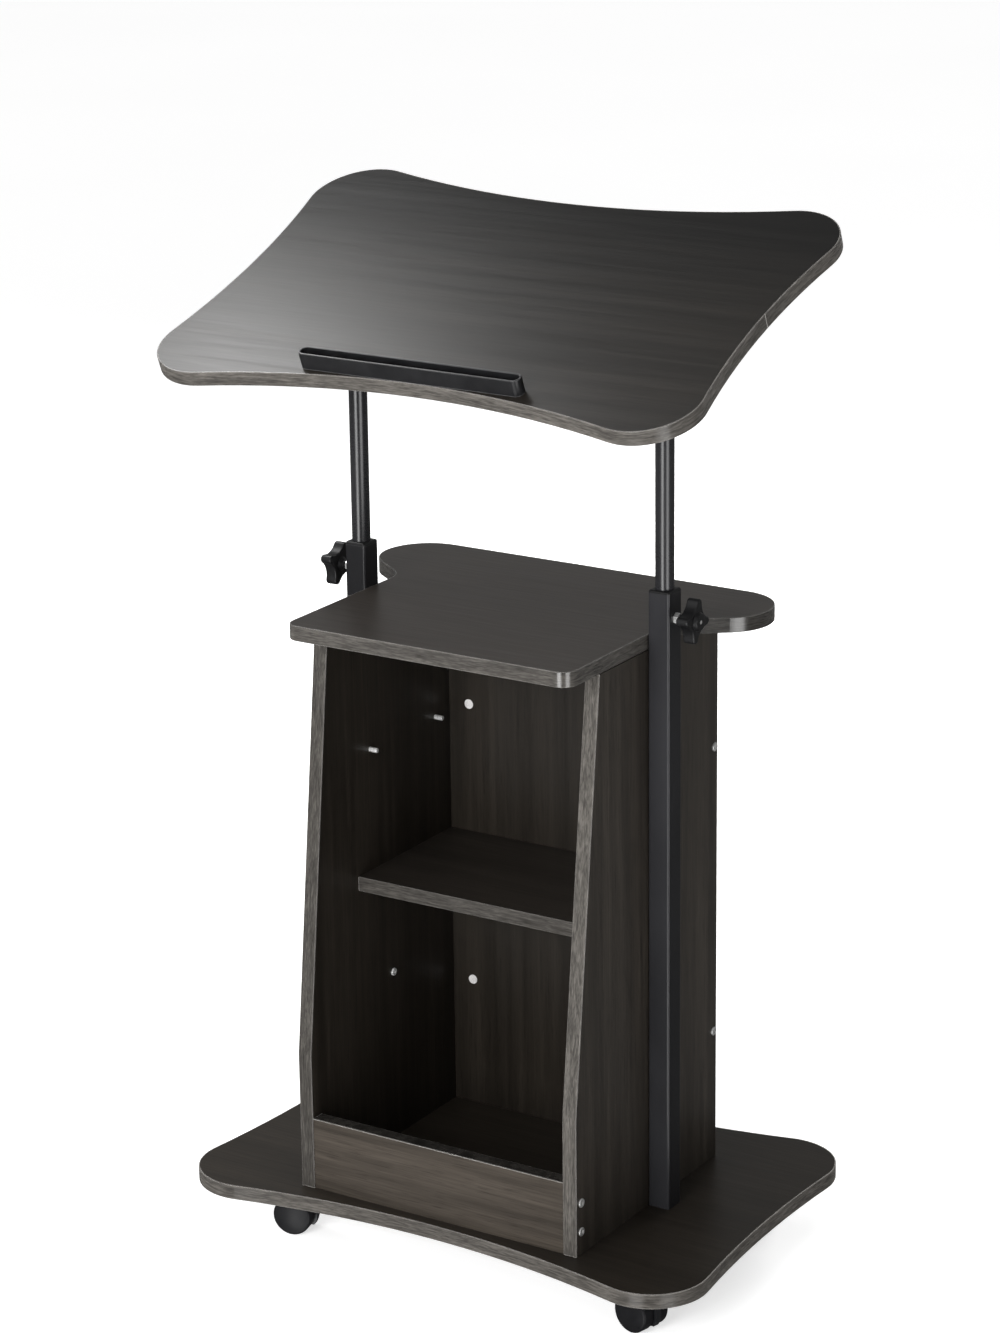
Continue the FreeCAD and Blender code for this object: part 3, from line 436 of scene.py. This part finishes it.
glow_dir.inputs[1].default_value = Vector((-0.25, -0.72, 0.65)).normalized()
lobe = wt.nodes.new("ShaderNodeMath")
lobe.operation = "MAXIMUM"
wt.links.new(glow_dir.outputs["Value"], lobe.inputs[0])
lobe.inputs[1].default_value = 0.0
power = wt.nodes.new("ShaderNodeMath")
power.operation = "POWER"
wt.links.new(lobe.outputs["Value"], power.inputs[0])
power.inputs[1].default_value = 4.0
gain = wt.nodes.new("ShaderNodeMath")
gain.operation = "MULTIPLY"
wt.links.new(power.outputs["Value"], gain.inputs[0])
gain.inputs[1].default_value = 1.1
total = wt.nodes.new("ShaderNodeMath")
total.operation = "ADD"
wt.links.new(shell.outputs["Color"], total.inputs[0])
wt.links.new(gain.outputs["Value"], total.inputs[1])


def strip(azimuth, half, soft, level, base):
    """Add an upright light strip low in the studio: it shows in rounded corners and tubes."""
    flat = wt.nodes.new("ShaderNodeVectorMath")
    flat.operation = "MULTIPLY"
    wt.links.new(tc.outputs["Generated"], flat.inputs[0])
    flat.inputs[1].default_value = (1, 1, 0)
    unit = wt.nodes.new("ShaderNodeVectorMath")
    unit.operation = "NORMALIZE"
    wt.links.new(flat.outputs["Vector"], unit.inputs[0])
    facing = wt.nodes.new("ShaderNodeVectorMath")
    facing.operation = "DOT_PRODUCT"
    wt.links.new(unit.outputs["Vector"], facing.inputs[0])
    a = math.radians(azimuth)
    facing.inputs[1].default_value = (math.cos(a), math.sin(a), 0)
    wide = wt.nodes.new("ShaderNodeMapRange")
    wide.interpolation_type = "SMOOTHSTEP"
    span = (math.cos(math.radians(half + soft)), math.cos(math.radians(half)), 0.0, level)
    for k, x in zip(("From Min", "From Max", "To Min", "To Max"), span):
        wide.inputs[k].default_value = x
    wt.links.new(facing.outputs["Value"], wide.inputs["Value"])
    v = wide.outputs["Result"]
    low = wt.nodes.new("ShaderNodeMapRange")
    low.interpolation_type = "SMOOTHSTEP"
    for k, x in zip(("From Min", "From Max", "To Min", "To Max"), (-0.10, 0.08, 1.0, 0.0)):
        low.inputs[k].default_value = x
    wt.links.new(sep.outputs["Z"], low.inputs["Value"])
    foot = wt.nodes.new("ShaderNodeMapRange")
    foot.interpolation_type = "SMOOTHSTEP"
    for k, x in zip(("From Min", "From Max", "To Min", "To Max"), (-0.80, -0.58, 0.0, 1.0)):
        foot.inputs[k].default_value = x
    wt.links.new(sep.outputs["Z"], foot.inputs["Value"])
    tall = wt.nodes.new("ShaderNodeMath")
    tall.operation = "MULTIPLY"
    wt.links.new(low.outputs["Result"], tall.inputs[0])
    wt.links.new(foot.outputs["Result"], tall.inputs[1])
    n = wt.nodes.new("ShaderNodeMath")
    n.operation = "MULTIPLY_ADD"
    wt.links.new(v, n.inputs[0])
    wt.links.new(tall.outputs["Value"], n.inputs[1])
    wt.links.new(base, n.inputs[2])
    return n.outputs["Value"]


light = strip(-88.5, 7.0, 10.0, 11.0, total.outputs["Value"])
light = strip(-28.0, 8.0, 10.0, 7.5, light)
wt.links.new(light, bg.inputs["Color"])
bg.inputs["Strength"].default_value = 1.0
# the backdrop itself is as pale as the floor
backdrop = wt.nodes.new("ShaderNodeBackground")
backdrop.inputs["Color"].default_value = (0.96, 0.96, 0.96, 1)
seen = wt.nodes.new("ShaderNodeLightPath")
either = wt.nodes.new("ShaderNodeMixShader")
wt.links.new(seen.outputs["Is Camera Ray"], either.inputs[0])
wt.links.new(bg.outputs["Background"], either.inputs[1])
wt.links.new(backdrop.outputs["Background"], either.inputs[2])
wt.links.new(either.outputs["Shader"], wo.inputs["Surface"])


def softbox(name, place, target, size, watts, colour=(1, 1, 1), spread=math.pi):
    data = bpy.data.lights.new(name, "AREA")
    data.shape = "RECTANGLE"
    data.size, data.size_y = size
    data.energy = watts
    data.color = colour
    data.spread = spread
    obj = bpy.data.objects.new(name, data)
    scene.collection.objects.link(obj)
    obj.location = place
    obj.rotation_euler = (Vector(target) - Vector(place)).to_track_quat("-Z", "Y").to_euler()
    obj.visible_camera = False
    return obj


front = softbox("front", (0.05, -3.3, 1.35), (0, 0, 0.45), (1.3, 1.5), 95)
front.visible_glossy = False
softbox("front_right", (2.95, -1.47, 1.35), (0, 0, 0.5), (0.35, 1.5), 3.2)
sheen = softbox("desk_sheen", (-0.768, 0.106, 1.802), (-0.15, -0.06, 0.95), (0.44, 0.43), 8.5)
sheen.visible_diffuse = False
for fill in (
    softbox("back_fill", (0.0, 3.2, 0.75), (0, 0, 0.45), (1.6, 0.9), 130),
    softbox("left_fill", (-3.2, 0.4, 0.8), (0, 0, 0.45), (1.2, 1.0), 70),
):
    fill.visible_glossy = False

cam_data = bpy.data.cameras.new("camera")
cam = bpy.data.objects.new("camera", cam_data)
scene.collection.objects.link(cam)
right = Vector((0.84550857, 0.53380903, -0.01277375))
up = Vector((-0.14792411, 0.25715153, 0.95498249))
ahead = Vector((-0.51306306, 0.80555633, -0.29638705))
cam.matrix_world = Matrix(
    (
        (right.x, up.x, -ahead.x, 1.870533),
        (right.y, up.y, -ahead.y, -2.970543),
        (right.z, up.z, -ahead.z, 1.690217),
        (0, 0, 0, 1),
    )
)
cam_data.sensor_fit = "AUTO"
cam_data.sensor_width = 36.0
cam_data.lens = 102.836
cam_data.shift_x = 0.00508
cam_data.shift_y = -0.00757
cam_data.clip_end = 200.0
scene.camera = cam
